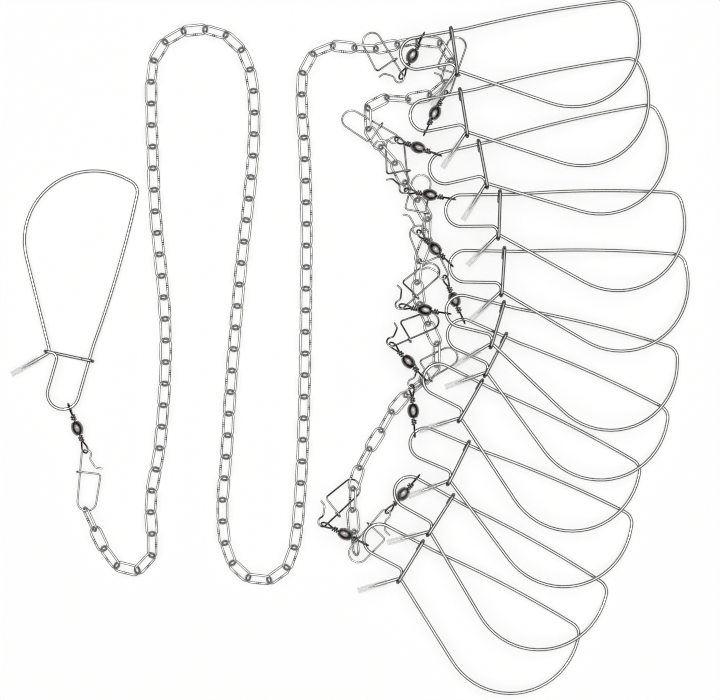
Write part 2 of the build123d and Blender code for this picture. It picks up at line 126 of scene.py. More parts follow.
crossing = lockClip["wire"] + lockClip["gap"]
legMoves = [("feed", lockClip["leg"]), ("bend", lockClip["crownRadius"], -lockClip["crown"]),
            ("bend", lockClip["bowRadius"], 2 * lockClip["crown"]),
            ("bend", lockClip["toe"], lockClip["toeAngle"] - lockClip["crown"]), ("feed", lockClip["toeRun"])]
legPoints, split, splitHeading = bendWire((lockClip["throatLeg"], 0, 0), (1, 0, 0), up, legMoves)
armMoves = [("bend", lockClip["arm"], lockClip["armAngle"]), ("feed", lockClip["armRun"])]
armStart = split + splitHeading * lockClip["split"]
catch = bendWire(armStart, splitHeading, up, armMoves + [
    ("bend", lockClip["catch"], -lockClip["catchAngle"] / 2)])[1]
armPoints, pointBase, pinHeading = bendWire(armStart, splitHeading, up, armMoves + [
    ("bend", lockClip["catch"], -lockClip["catchAngle"]), ("feed", lockClip["pin"] - lockClip["point"])])
pinPoint = pointBase + pinHeading * lockClip["point"]

throatTwist = math.degrees(math.asin(crossing / (2 * lockClip["throat"])))
throatWidth = 2 * lockClip["throat"] * math.cos(math.radians(throatTwist))
leanSin, leanCos = math.sin(math.radians(lockClip["hookLean"])), math.cos(math.radians(lockClip["hookLean"]))
hookRest = (catch.y - throatWidth - lockClip["hook"] * (1 - leanCos)) / leanSin
hookFeed = catch.x - lockClip["throatLeg"] - lockClip["hook"] * leanSin - hookRest * leanCos
barRun = catch.y / leanSin
throatMoves = [("roll", -throatTwist), ("bend", lockClip["throat"], 180), ("roll", -throatTwist),
               ("feed", hookFeed), ("bend", lockClip["hook"], -lockClip["hookLean"]), ("feed", hookRest),
               ("roll", 90)]
hookMoves = [("bend", crossing, 180), ("feed", barRun), ("bend", crossing, 180), ("feed", lockClip["tail"])]
throatPoints = bendWire((lockClip["throatLeg"], 0, 0), (-1, 0, 0), -up, throatMoves)[0]
hookPoints = bendWire((lockClip["throatLeg"], 0, 0), (-1, 0, 0), -up, throatMoves + hookMoves)[0]
hookPoints = hookPoints[len(throatPoints):]

neckEnd = swivelEye["span"] / 2 - swivelBarrel["length"] / 2 - swivelEye["play"]
shankEnd = swivelEye["span"] / 2 - swivelBarrel["length"] / 2 + swivelBarrel["wall"] + swivelEye["play"]

snapLean = math.radians(chainSnap["lean"])
snapLeg = Vector((math.cos(snapLean), -math.sin(snapLean), 0))
snapSide = Vector((math.sin(snapLean), math.cos(snapLean), 0))
snapStart = Vector((*chainSnap["start"], 0))
snapMoves = [("feed", chainSnap["down"]), ("bend", chainSnap["foot"], chainSnap["footTurn"]),
             ("feed", chainSnap["back"]), ("roll", chainSnap["rise"]),
             ("bend", chainSnap["barBend"], chainSnap["barTurn"])]
_, barStart, barHeading = bendWire(snapStart, snapLeg, up, snapMoves)
snapBar = (barStart - snapStart).dot(snapSide) / -barHeading.dot(snapSide)
barRise = (barStart + barHeading * snapBar).z
snapUpper = bendWire(snapStart, -snapLeg, up, [
    ("feed", chainSnap["up"]), ("bend", chainSnap["loop"], -chainSnap["loopTurn"]), ("feed", chainSnap["loopRun"]),
    ("bend", chainSnap["loop"], chainSnap["neckTurn"]), ("feed", chainSnap["neck"]),
    ("bend", chainSnap["hook"], chainSnap["neckTurn"]), ("feed", chainSnap["hookRun"])])[0]
snapLower = bendWire(snapStart, snapLeg, up, snapMoves + [
    ("feed", snapBar), ("roll", chainSnap["rise"] - 90), ("bend", barRise, 180), ("feed", chainSnap["tail"])])[0]
snapPoints = snapUpper[::-1] + snapLower[1:]
snapLoop = snapStart - snapLeg * chainSnap["up"] + snapSide * chainSnap["loop"]
snapFoot = snapStart + snapLeg * chainSnap["down"] + snapSide * chainSnap["foot"]
print("wires bent")


# Where things lie on the table. Clip rows: heading of the leg, height of the throat, roll. Drop rows: link of
# the heap, leg of the snap that takes it, place along it, heading and roll of the snap, height of its loop,
# heading of the swivel, tilt of the chain's eye, place of the clip's eye on the throat, sag of that eye.
# The route is in link pitches.

layout = {
    "clips": [
        (11.0, 19.0, 6.3), (12.0, 19.0, 6.3), (13.5, 18.7, 6.3), (1.0, 18.0, 6.3), (-0.8, 17.8, 6.3),
        (-13.8, 17.0, 8.0), (-24.0, 12.8, 6.5), (-26.8, 13.0, 6.3), (-23.3, 12.4, 6.3),
        (-29.5, 12.0, 6.3), (-28.0, 11.5, 3.5)],
    "drops": [
        (2, 1, 31.5, -42.37, 12, 11.0, 62.08, 60, "leg", 8, 0.0),
        (6, 1, 27.0, -89.98, 4, 11.0, -116.49, 60, "bend", 168, 0.0),
        (12, -1, 22.0, -38.51, 12, 8.0, -21.24, 60, "bend", 16, 0.0),
        (14, 1, 27.0, -65.41, 12, 12.5, -11.04, 60, "bend", 40, 0.0),
        (16, 1, 27.0, -81.88, 4, 9.5, -45.53, 60, "bend", 80, 0.0),
        (20, 1, 27.0, -119.17, 12, 12.5, -9.25, 60, "bend", 112, 0.6),
        (18, -1, 31.5, -70.18, 12, 9.5, -66.71, 60, "bend", 24, 0.0),
        (22, 1, 31.5, -139.64, 14, 16.0, -46.12, 60, "bend", 108, 0.0),
        (24, 1, 27.0, -130.22, 4, 12.5, -86.29, 60, "bend", 68, 0.0),
        (34, -1, 27.0, 43.27, 4, 5.0, 49.48, 60, "bend", 4, 0.5),
        (32, -1, 27.0, -143.66, 14, 16.0, -26.07, 60, "bend", 132, 0.0)],
    "leftClip": (74.0, 4.2, 0.0),
    "leftDrop": (89.79, 0.0, 3.85, 110.32, 60, "bend", 50, 0.7),
    "leftSeat": 1.0,
    "route": [
        (-12.2391, -7.5290), (-11.7319, -8.6377), (-11.2246, -9.7101), (-10.5725, -10.4058),
        (-9.6449, -10.4493), (-8.9928, -9.5217), (-9.2754, -8.0362), (-9.1812, -6.4130),
        (-8.8551, -5.1594), (-8.7174, -3.8623), (-8.5290, -1.1739), (-8.5290, 1.2391),
        (-8.7174, 3.3261), (-8.9493, 5.4130), (-9.0435, 6.5725), (-9.1377, 8.8913),
        (-9.2246, 11.6739), (-9.1812, 13.3913), (-8.2536, 14.5000), (-6.7246, 14.8261),
        (-5.1957, 14.2246), (-4.5435, 12.7391), (-4.4058, 11.2101), (-4.4493, 9.1232),
        (-4.6812, 6.8043), (-5.0507, 3.7899), (-5.3333, 0.5435), (-5.6087, -2.9348),
        (-5.7029, -5.0217), (-5.9783, -7.5725), (-5.7464, -9.7101), (-4.9130, -10.6812),
        (-3.9855, -10.9565), (-2.9638, -10.4928), (-2.5000, -9.1957), (-2.3188, -7.1087),
        (-2.1812, -4.7899), (-2.0870, -1.3116), (-2.0362, 2.1667), (-1.9928, 5.5072),
        (-2.0870, 9.1232), (-2.2681, 11.4420), (-2.2246, 13.0145), (-1.2971, 13.9928),
        (0.0000, 13.8551), (1.1594, 13.7101), (2.5507, 14.0870), (3.7101, 14.2681),
        (4.6377, 13.8551), (4.7754, 12.7391), (4.0797, 11.7681), (3.0652, 11.3913),
        (2.0435, 11.5362), (1.1594, 11.4855), (0.6014, 10.8406), (0.9783, 9.6812),
        (2.1377, 8.4710), (2.3188, 8.1014), (2.6884, 7.2681), (3.4348, 6.4783),
        (3.7609, 5.3188), (3.2029, 4.2029), (3.0652, 2.8623), (3.2464, 1.7971),
        (3.7101, 0.8696), (4.1739, -0.1522), (3.9420, -1.1739), (2.9710, -1.9130),
        (2.1377, -2.6087), (1.6232, -3.5870), (1.0652, -4.4638), (0.4638, -5.4420),
        (0.0507, -6.7391), (0.1377, -8.0362), (0.2826, -9.3333), (0.3261, -10.4493)],
    "cornerRounds": 3}


def cutCorners(points, rounds):
    for _ in range(rounds):
        cut = [points[0]]
        for a, b in zip(points, points[1:]):
            cut += [a * 0.75 + b * 0.25, a * 0.25 + b * 0.75]
        points = cut + [points[-1]]
    return points


def stepAlong(points, pitch):
    found, first = [points[0]], 0
    while first is not None:
        here, start, first = found[-1], first, None
        for i in range(start, len(points) - 1):
            run, back = points[i + 1] - points[i], points[i] - here
            square = run.dot(back) ** 2 - run.dot(run) * (back.dot(back) - pitch ** 2)
            share = (math.sqrt(max(square, 0)) - run.dot(back)) / run.dot(run)
            if square >= 0 and 0 <= share <= 1 and (i > start or share > 0):
                found.append(points[i] + run * share)
                first = i
                break
    return found


# one link to each pitch of the route, leaning to either side in turn
def layChain():
    pitch = chainLink["length"] - 2 * chainLink["wire"] - chainLink["play"]
    corners = [Vector((x, y, 0)) * pitch for x, y in layout["route"]]
    stops = stepAlong(cutCorners(corners, layout["cornerRounds"]), pitch)
    bends = [math.degrees((b - a).angle(c - b)) for a, b, c in zip(stops, stops[1:], stops[2:])]
    bends = [0] + bends + [0]
    leans = []
    for i in range(len(stops) - 1):
        sharpest = max(bends[i], bends[i + 1])
        if i == 0 or (i >= heapStart and i % 2 == 0):
            leans.append(-chainLink["steepLean"])
        elif i < heapStart:
            lean = chainLink["bendLean"] if sharpest >= chainLink["easyTurn"] else chainLink["runLean"]
            leans.append(lean if i % 2 else -lean)
        else:
            leans.append(chainLink["turnLean"] if sharpest > chainLink["sharpTurn"] else chainLink["shallowLean"])
    half = (chainLink["width"] - chainLink["wire"]) / 2
    heights = [half * abs(math.sin(math.radians(lean))) + chainLink["wire"] / 2 for lean in leans]
    tops = [heights[0]] + [max(a, b) for a, b in zip(heights, heights[1:])] + [heights[-1]]
    stops = [stop + up * top for stop, top in zip(stops, tops)]
    links = []
    for a, b, lean in zip(stops, stops[1:], leans):
        along = (b - a).normalized()
        across = up.cross(along).normalized()
        face = along.cross(across) * math.cos(math.radians(lean)) + across * math.sin(math.radians(lean))
        links.append(((a + b) * 0.5, along, face))
    return links, stops


def layClip(heading, lift, roll, face):
    slope = math.asin((lift - lockClip["toeHeight"]) / lockClip["toeReach"])
    turn, lean = math.radians(heading), math.radians(roll)
    along = Vector((math.cos(turn) * math.cos(slope), math.sin(turn) * math.cos(slope), -math.sin(slope)))
    across = Vector((math.sin(turn), -math.cos(turn), 0)) * -face
    raised = across.cross(along) * -face
    over = across * math.cos(lean) + raised * math.sin(lean)
    return placed(Vector((0, 0, lift)), along, along.cross(over))


def throatPoint(part, place):
    if part == "leg":
        return Vector((place, 0, 0))
    rise = lockClip["throat"] * (1 - math.cos(math.radians(place)))
    twist = math.radians(throatTwist)
    return Vector((lockClip["throatLeg"] - lockClip["throat"] * math.sin(math.radians(place)),
                   rise * math.cos(twist), rise * math.sin(twist)))


def planWay(heading):
    return Vector((math.cos(math.radians(heading)), math.sin(math.radians(heading)), 0))


# a snap runs from its link to an elbow, a swivel from the elbow to the throat of the clip, which lies at its end
def hangDrop(clip, target, held, heading, roll, elbowHeight, swivelHeading, tilt, part, spot, sag):
    grip = snapLoop - Vector((chainSnap["loop"] - (swivelEye["wire"] + chainSnap["wire"]) / 2
                              - chainSnap["play"], 0, 0))
    reach = held - grip
    throat = clip @ throatPoint(part, spot)
    eyeHeight = throat.z - sag
    near = math.sqrt((swivelEye["span"] + swivelEye["radius"]) ** 2 - (eyeHeight - elbowHeight) ** 2)
    far = math.sqrt(reach.length ** 2 - (elbowHeight - target.z) ** 2)
    elbow = target + planWay(heading) * far
    elbow.z = elbowHeight
    clipEye = elbow + planWay(swivelHeading) * near
    clipEye.z = eyeHeight
    axis = (elbow - clipEye).normalized()
    across = up.cross(axis).normalized()
    chainEye = clipEye + axis * swivelEye["span"]
    face = axis.cross(across) * math.cos(math.radians(tilt)) + across * math.sin(math.radians(tilt))
    plan = math.radians(heading + 180) - math.atan2(reach.y, reach.x)
    lie = Vector((math.cos(plan), math.sin(plan), (target.z - elbowHeight) / reach.length)).normalized()
    beside = up.cross(lie).normalized()
    snapFace = lie.cross(beside) * math.cos(math.radians(roll)) - beside * math.sin(math.radians(roll))
    snapOrigin = elbow - lie * grip.x - snapFace.cross(lie) * grip.y
    return {"clipEye": placed(clipEye, axis, across), "chainEye": placed(chainEye, -axis, face),
            "barrel": placed((clipEye + chainEye) * 0.5, axis, across), "snap": placed(snapOrigin, lie, snapFace),
            "clip": Matrix.Translation(clipEye + up * sag - throat) @ clip}


links, stops = layChain()
drops = []
for row, (number, leg, along, heading, roll, *rest) in zip(layout["clips"], layout["drops"]):
    if leg < 0:
        held = snapStart + snapLeg * ((along - chainSnap["start"][0]) / snapLeg.x)
    else:
        held = Vector((along - chainSnap["backShift"], snapFoot.y + chainSnap["foot"], 0))
    drops.append(hangDrop(layClip(*row, -1), links[heapStart + number][0], held, heading,
                          roll if leg < 0 else -roll, *rest))
leftDrop = hangDrop(layClip(*layout["leftClip"], 1), stops[0] + links[0][1] * layout["leftSeat"],
                    snapFoot + snapLeg * chainSnap["foot"], *layout["leftDrop"])
print("laid out", len(links), "links and", len(drops) + 1, "clips")


# Materials

def newMaterial(name):
    material = bpy.data.materials.new(name)
    material.use_nodes = True
    material.node_tree.nodes.clear()
    return material, material.node_tree


# rim: painted shade, a dark edge tint that darkens the grazing reflections at the wire's edges
drawnSteel = {"bright": "#B8B8B6", "dull": "#A4A4A2", "bar": "#8C8C8A", "rim": "#2A2A29", "rough": 0.1,
              "rougher": 0.06, "smoother": 0.03, "roughBand": (0.1, 0.5), "barRough": 0.28, "bump": 0.15,
              "bumpDepth": 0.03, "lineLength": 50 / 3, "linesAround": 18.0, "handling": 14.0,
              "dullBand": (0.12, 0.42)}


# Drawn stainless spring wire: bright, with fine die lines along the wire, slight handling smears, and a
# duller brushed grip on the lock bar. Its dark rim tint is painted shade: it darkens the grazing
# reflections at the wire's edges, standing in for dark surroundings reflected there.
def springWire(name, look):
    material, tree = newMaterial(name)
    along = addNode(tree, "ShaderNodeAttribute", attribute_name="along")
    around = addNode(tree, "ShaderNodeAttribute", attribute_name="around")
    bar = addNode(tree, "ShaderNodeAttribute", attribute_name="bar")
    coords = addNode(tree, "ShaderNodeTexCoord")
    lines = addNode(tree, "ShaderNodeCombineXYZ", {
        0: addNode(tree, "ShaderNodeMath", {0: along.outputs["Fac"], 1: 1000.0 / look["lineLength"]},
                   operation="MULTIPLY").outputs[0],
        1: addNode(tree, "ShaderNodeMath", {0: around.outputs["Fac"], 1: look["linesAround"]},
                   operation="MULTIPLY").outputs[0]})
    dieLines = addNode(tree, "ShaderNodeTexNoise", {"Vector": lines.outputs[0], "Scale": 1.0, "Detail": 4.0,
                                                    "Roughness": 0.65})
    smears = addNode(tree, "ShaderNodeTexNoise", {"Vector": coords.outputs["Object"],
                                                  "Scale": 1000.0 / look["handling"], "Detail": 3.0})
    mark = addNode(tree, "ShaderNodeMath", {0: dieLines.outputs["Fac"], 1: smears.outputs["Fac"]},
                   operation="MULTIPLY")
    dulled = addNode(tree, "ShaderNodeMapRange", {"Value": mark.outputs[0], 1: look["dullBand"][0],
                                                  2: look["dullBand"][1]})
    wireTint = addNode(tree, "ShaderNodeMix", {"Factor": dulled.outputs[0], 6: linear(look["dull"]),
                                               7: linear(look["bright"])}, data_type="RGBA")
    tint = addNode(tree, "ShaderNodeMix", {"Factor": bar.outputs["Fac"], 6: wireTint.outputs[2],
                                           7: linear(look["bar"])}, data_type="RGBA")
    sheen = addNode(tree, "ShaderNodeMapRange", {"Value": mark.outputs[0], 1: look["roughBand"][0],
                                                 2: look["roughBand"][1], 3: look["rough"] + look["rougher"],
                                                 4: look["rough"] - look["smoother"]})
    rough = addNode(tree, "ShaderNodeMix", {"Factor": bar.outputs["Fac"], 2: sheen.outputs[0],
                                            3: look["barRough"]}, data_type="FLOAT")
    bump = addNode(tree, "ShaderNodeBump", {"Strength": look["bump"], "Distance": look["bumpDepth"] * mm,
                                            "Height": dieLines.outputs["Fac"]})
    shader = addNode(tree, "ShaderNodeBsdfPrincipled", {
        "Base Color": tint.outputs[2], "Metallic": 1.0, "Roughness": rough.outputs[0], "Normal": bump.outputs[0],
        "Specular Tint": linear(look["rim"])})
    addNode(tree, "ShaderNodeOutputMaterial", {"Surface": shader.outputs[0]})
    return material


# rim: painted shade, a dark edge tint that darkens the grazing reflections at the link's edges
weldedSteel = {"bright": "#C6C6C4", "dull": "#A4A4A2", "scale": "#2B2927", "rim": "#2A2A29", "rough": 0.32,
               "rougher": 0.1, "smoother": 0.02, "roughBand": (0.3, 0.7), "scarRough": 0.55, "bump": 0.5,
               "bumpDepth": 0.1, "grain": 1.1, "patch": 100 / 13, "bead": 1.3, "beadShare": 0.22,
               "scarBand": (0.4, 0.58)}


# Zinc-plated mild steel link, butt welded: bright wire, a rough dark speckled seam along one side, and a
# dark rim tint that is painted shade, darkening the grazing reflections at the link's edges.
def platedLink(name, look):
    material, tree = newMaterial(name)
    weld = addNode(tree, "ShaderNodeAttribute", attribute_name="weld")
    coords = addNode(tree, "ShaderNodeTexCoord")
    speckle = addNode(tree, "ShaderNodeTexNoise", {"Vector": coords.outputs["Object"],
                                                   "Scale": 1000.0 / look["grain"], "Detail": 4.0,
                                                   "Roughness": 0.7})
    cloud = addNode(tree, "ShaderNodeTexNoise", {"Vector": coords.outputs["Object"],
                                                 "Scale": 1000.0 / look["patch"], "Detail": 3.0})
    seam = addNode(tree, "ShaderNodeAttribute", attribute_name="seam")
    turns = addNode(tree, "ShaderNodeMath", {0: seam.outputs["Fac"], 1: 2 * math.pi / look["bead"]},
                    operation="MULTIPLY")
    beads = addNode(tree, "ShaderNodeMath", {0: turns.outputs[0]}, operation="SINE")
    uneven = addNode(tree, "ShaderNodeMath", {0: beads.outputs[0], 1: look["beadShare"],
                                              2: speckle.outputs["Fac"]}, operation="MULTIPLY_ADD")
    grains = addNode(tree, "ShaderNodeMapRange", {"Value": uneven.outputs[0], 1: look["scarBand"][0],
                                                  2: look["scarBand"][1]})
    scar = addNode(tree, "ShaderNodeMath", {0: grains.outputs[0], 1: weld.outputs["Fac"]}, operation="MULTIPLY")
    plate = addNode(tree, "ShaderNodeMix", {"Factor": cloud.outputs["Fac"], 6: linear(look["dull"]),
                                            7: linear(look["bright"])}, data_type="RGBA")
    tint = addNode(tree, "ShaderNodeMix", {"Factor": scar.outputs[0], 6: plate.outputs[2],
                                           7: linear(look["scale"])}, data_type="RGBA")
    smooth = addNode(tree, "ShaderNodeMapRange", {"Value": cloud.outputs["Fac"], 1: look["roughBand"][0],
                                                  2: look["roughBand"][1], 3: look["rough"] + look["rougher"],
                                                  4: look["rough"] - look["smoother"]})
    rough = addNode(tree, "ShaderNodeMix", {"Factor": scar.outputs[0], 2: smooth.outputs[0],
                                            3: look["scarRough"]}, data_type="FLOAT")
    bump = addNode(tree, "ShaderNodeBump", {"Strength": look["bump"], "Distance": look["bumpDepth"] * mm,
                                            "Height": scar.outputs[0]})
    shader = addNode(tree, "ShaderNodeBsdfPrincipled", {
        "Base Color": tint.outputs[2], "Metallic": 1.0, "Roughness": rough.outputs[0], "Normal": bump.outputs[0],
        "Specular Tint": linear(look["rim"])})
    addNode(tree, "ShaderNodeOutputMaterial", {"Surface": shader.outputs[0]})
    return material


# the coils' lighter tint is rubbed plate and painted highlight, making the coils read lit
blackNickel = {"deep": "#6E6B69", "worn": "#A09D99", "rubbedAndPaintedHighlight": "#C2BFBA", "rough": 0.24, "rougher": 0.12,
               "smoother": 0.05, "roughBand": (0.3, 0.7), "bump": 0.12, "bumpDepth": 0.05, "wear": 3.2,
               "thinBand": (0.45, 0.75)}


# Black nickel plate on brass: dark, paler where the plate is thin, and a little brighter on the coils: rubbed
# plate there, and a painted highlight that lightens the coils so they read as lit.
def blackPlate(name, look):
    material, tree = newMaterial(name)
    coords = addNode(tree, "ShaderNodeTexCoord")
    cloud = addNode(tree, "ShaderNodeTexNoise", {"Vector": coords.outputs["Object"],
                                                 "Scale": 1000.0 / look["wear"], "Detail": 5.0,
                                                 "Roughness": 0.6})
    thin = addNode(tree, "ShaderNodeMapRange", {"Value": cloud.outputs["Fac"], 1: look["thinBand"][0],
                                                2: look["thinBand"][1]})
    plate = addNode(tree, "ShaderNodeMix", {"Factor": thin.outputs[0], 6: linear(look["deep"]),
                                            7: linear(look["worn"])}, data_type="RGBA")
    rubAndPaintedHighlight = addNode(tree, "ShaderNodeAttribute", attribute_name="bar")
    tint = addNode(tree, "ShaderNodeMix", {"Factor": rubAndPaintedHighlight.outputs["Fac"], 6: plate.outputs[2],
                                           7: linear(look["rubbedAndPaintedHighlight"])}, data_type="RGBA")
    rough = addNode(tree, "ShaderNodeMapRange", {"Value": cloud.outputs["Fac"], 1: look["roughBand"][0],
                                                 2: look["roughBand"][1], 3: look["rough"] - look["smoother"],
                                                 4: look["rough"] + look["rougher"]})
    bump = addNode(tree, "ShaderNodeBump", {"Strength": look["bump"], "Distance": look["bumpDepth"] * mm,
                                            "Height": cloud.outputs["Fac"]})
    shader = addNode(tree, "ShaderNodeBsdfPrincipled", {
        "Base Color": tint.outputs[2], "Metallic": 1.0, "Roughness": rough.outputs[0], "Normal": bump.outputs[0]})
    addNode(tree, "ShaderNodeOutputMaterial", {"Surface": shader.outputs[0]})
    return material


softVinyl = {"clear": "#B4B4B2", "haze": "#C6C6C4", "rough": 0.2, "rougher": 0.08, "smoother": 0.05,
             "roughBand": (0.3, 0.7), "bump": 0.05, "bumpDepth": 0.1, "cover": 0.17, "ior": 1.53, "ripple": 4.0}


# Clear PVC tube, extruded and cut: see-through, a little hazy, with a soft ripple from the die.
def clearTube(name, look):
    material, tree = newMaterial(name)
    coords = addNode(tree, "ShaderNodeTexCoord")
    ripple = addNode(tree, "ShaderNodeTexNoise", {"Vector": coords.outputs["Object"],
                                                  "Scale": 1000.0 / look["ripple"], "Detail": 2.0})
    tint = addNode(tree, "ShaderNodeMix", {"Factor": ripple.outputs["Fac"], 6: linear(look["clear"]),
                                           7: linear(look["haze"])}, data_type="RGBA")
    rough = addNode(tree, "ShaderNodeMapRange", {"Value": ripple.outputs["Fac"], 1: look["roughBand"][0],
                                                 2: look["roughBand"][1], 3: look["rough"] - look["smoother"],
                                                 4: look["rough"] + look["rougher"]})
    bump = addNode(tree, "ShaderNodeBump", {"Strength": look["bump"], "Distance": look["bumpDepth"] * mm,
                                            "Height": ripple.outputs["Fac"]})
    shader = addNode(tree, "ShaderNodeBsdfPrincipled", {
        "Base Color": tint.outputs[2], "Roughness": rough.outputs[0], "IOR": look["ior"], "Alpha": look["cover"],
        "Normal": bump.outputs[0]})
    addNode(tree, "ShaderNodeOutputMaterial", {"Surface": shader.outputs[0]})
    return material


clipFinish = springWire("drawnStainlessWire", drawnSteel)
snapFinish = springWire("tinnedSnapWire", dict(drawnSteel, bright="#AEAEAC", dull="#989896", rough=0.12))
linkFinish = platedLink("weldedPlatedLink", weldedSteel)
wrapFinish = blackPlate("blackNickelWire", dict(blackNickel, deep="#4C4A48", worn="#75726F", rough=0.16, wear=2.0))
barrelFinish = blackPlate("blackNickelBarrel", blackNickel)
sleeveFinish = clearTube("clearSoftVinyl", softVinyl)
print("materials made")


# Geometry Nodes

def newTree(name, sockets):
    tree = bpy.data.node_groups.new(name, "GeometryNodeTree")
    tree.interface.new_socket("Geometry", in_out="OUTPUT", socket_type="NodeSocketGeometry")
    tree.interface.new_socket("Geometry", in_out="INPUT", socket_type="NodeSocketGeometry")
    for label, kind in sockets:
        tree.interface.new_socket(label, in_out="INPUT", socket_type=kind)
    return tree, addNode(tree, "NodeGroupInput").outputs, addNode(tree, "NodeGroupOutput")


# sweeps every path of a mesh, thinner or thicker by its own attribute
def wireTree():
    tree, given, result = newTree("sweptWire", [
        ("Wire diameter", "NodeSocketFloat"), ("Sides", "NodeSocketInt"), ("Finish", "NodeSocketMaterial")])
    path = addNode(tree, "GeometryNodeMeshToCurve", {"Mesh": given["Geometry"]})
    length = addNode(tree, "GeometryNodeSplineParameter")
    marked = addNode(tree, "GeometryNodeStoreNamedAttribute", {
        "Geometry": path.outputs[0], "Name": "along", "Value": length.outputs["Length"]}, domain="POINT")
    thick = addNode(tree, "GeometryNodeInputNamedAttribute", {"Name": "thick"})
    half = addNode(tree, "ShaderNodeMath", {0: given["Wire diameter"], 1: 0.5}, operation="MULTIPLY")
    ring = addNode(tree, "GeometryNodeCurvePrimitiveCircle", {
        "Resolution": given["Sides"], "Radius": half.outputs[0]})
    about = addNode(tree, "GeometryNodeSplineParameter")
    ringMarked = addNode(tree, "GeometryNodeStoreNamedAttribute", {
        "Geometry": ring.outputs[0], "Name": "around", "Value": about.outputs["Factor"]}, domain="POINT")
    wire = addNode(tree, "GeometryNodeCurveToMesh", {
        "Curve": marked.outputs[0], "Profile Curve": ringMarked.outputs[0], "Scale": thick.outputs["Attribute"],
        "Fill Caps": True})
    smooth = addNode(tree, "GeometryNodeSetShadeSmooth", {"Geometry": wire.outputs[0]})
    real = addNode(tree, "GeometryNodeRealizeInstances", {"Geometry": smooth.outputs[0]})
    finished = addNode(tree, "GeometryNodeSetMaterial", {"Geometry": real.outputs[0], "Material": given["Finish"]})
    tree.links.new(finished.outputs[0], result.inputs[0])
    return tree


